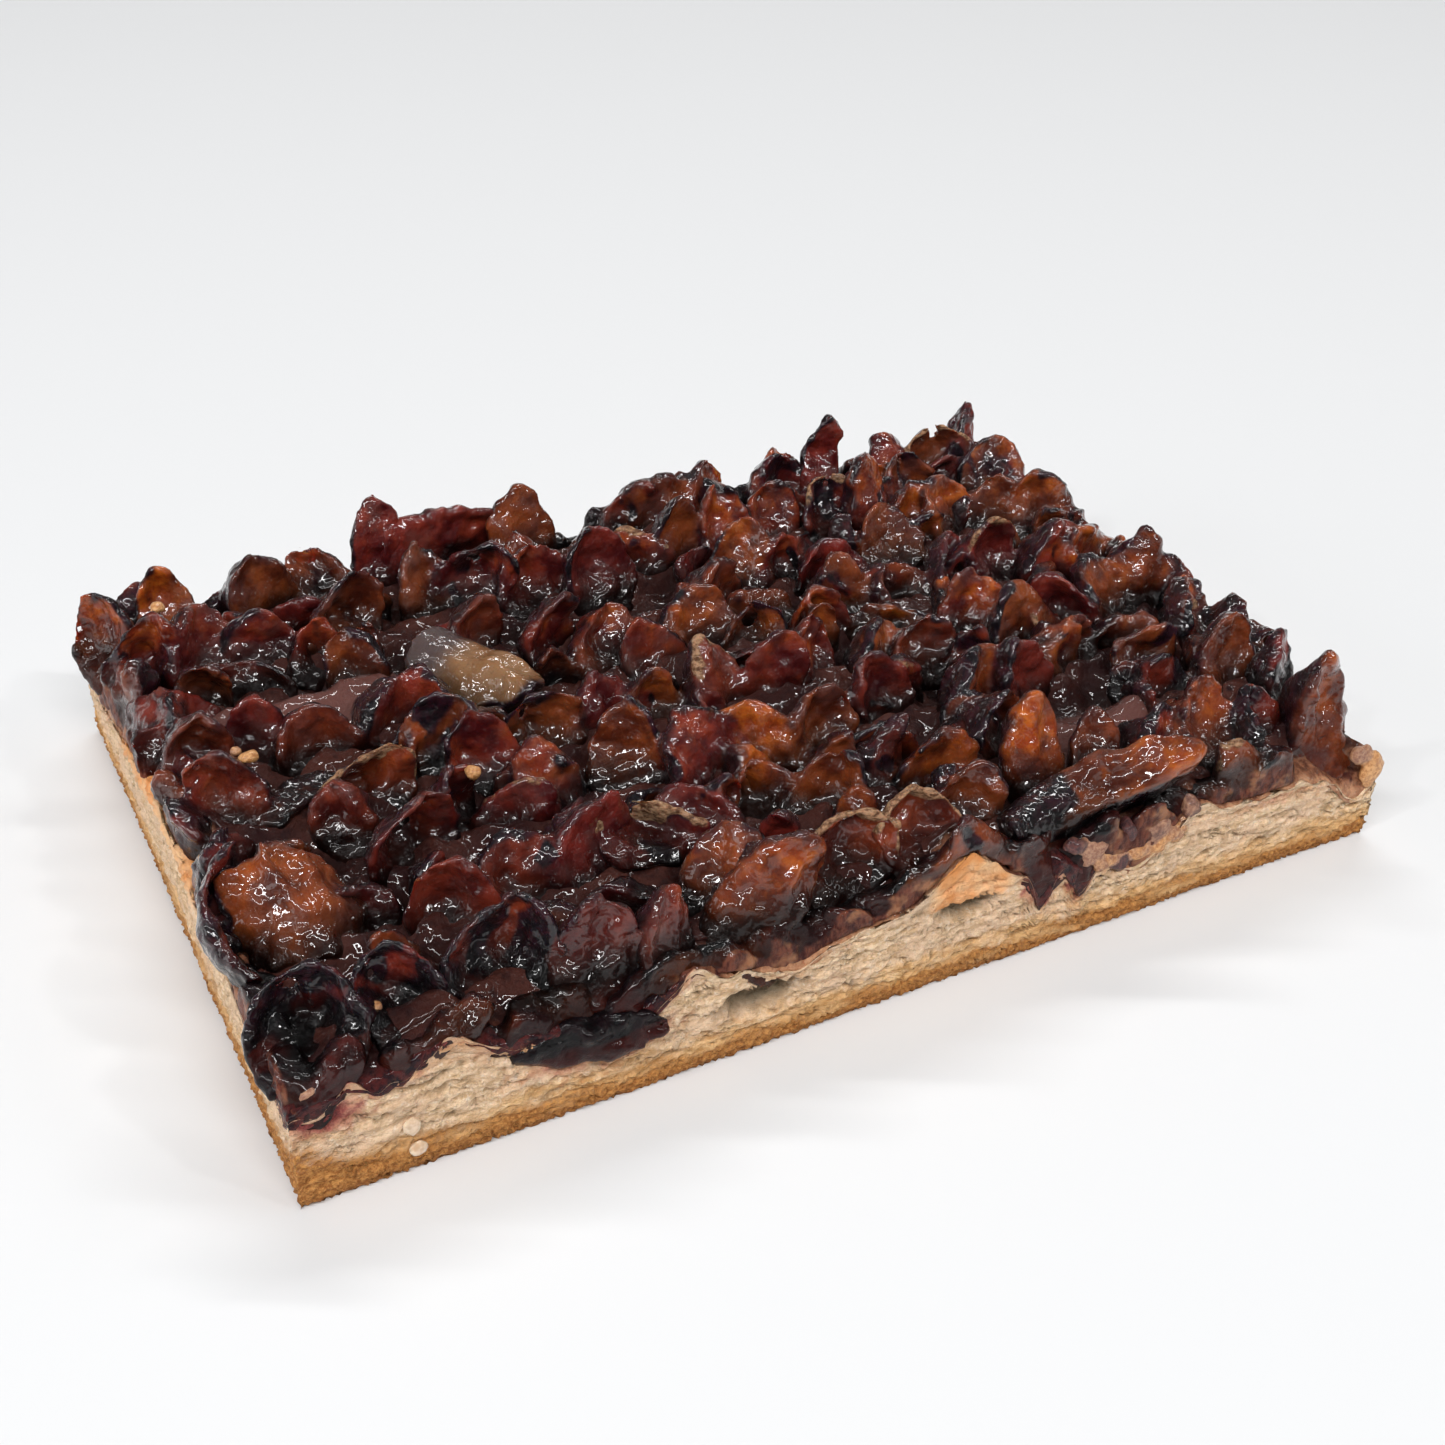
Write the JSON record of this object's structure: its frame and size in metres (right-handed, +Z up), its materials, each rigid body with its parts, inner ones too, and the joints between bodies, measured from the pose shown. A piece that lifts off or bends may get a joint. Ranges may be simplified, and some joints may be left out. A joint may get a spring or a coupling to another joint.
{
  "type": "plum yeast cake",
  "caption": "Rectangular slab of plum yeast cake cut from a tray bake, with plum wedges standing on end in rows in dark glaze on a flat yeast dough.",
  "frame": {"origin": "centre of the slab's box, on the surface it rests on", "axes": "+X along the long front cut, +Y from the front cut to the back cut, +Z up"},
  "size_m": [0.2532, 0.1708, 0.049],
  "materials": {
    "dough": "matt baked crumb with a golden brown bottom crust",
    "plum": "glossy glazed baked plum, red brown with blue black skin",
    "pale_plum": "satin pale brown plum flesh"
  },
  "bodies": {
    "root": {"dough": "dough", "plum_layer": "plum", "plum_corner_charred_left": "plum", "plum_corner_charred_right": "plum", "plum_glazed_oval": "plum", "plum_skin_crescent": "plum", "plum_front_blue_arc": "plum", "plum_front_skin": "plum", "plum_front_purple": "plum", "plum_front_small": "plum", "plum_front_long": "plum", "plum_dry_arch_left": "plum", "plum_dry_arch_right": "plum", "plum_amber_finger": "plum", "plum_amber_long": "plum", "plum_end_wedge": "plum", "plum_end_hook": "plum", "plum_dry_crust": "plum", "plum_skin_arc_left": "plum", "plum_dry_rim": "plum", "plum_pale_half": "pale_plum", "plum_grey_lobe": "plum", "plum_back_spike": "plum", "plum_back_slab_end": "plum", "plum_back_slab": "plum", "plum_corner_outer": "plum", "plum_corner_amber": "plum", "plum_tall_arch": "plum", "plum_back_corner": "plum", "plum_dark_arch": "plum", "plum_red_flesh": "plum"}
  },
  "joints": []
}
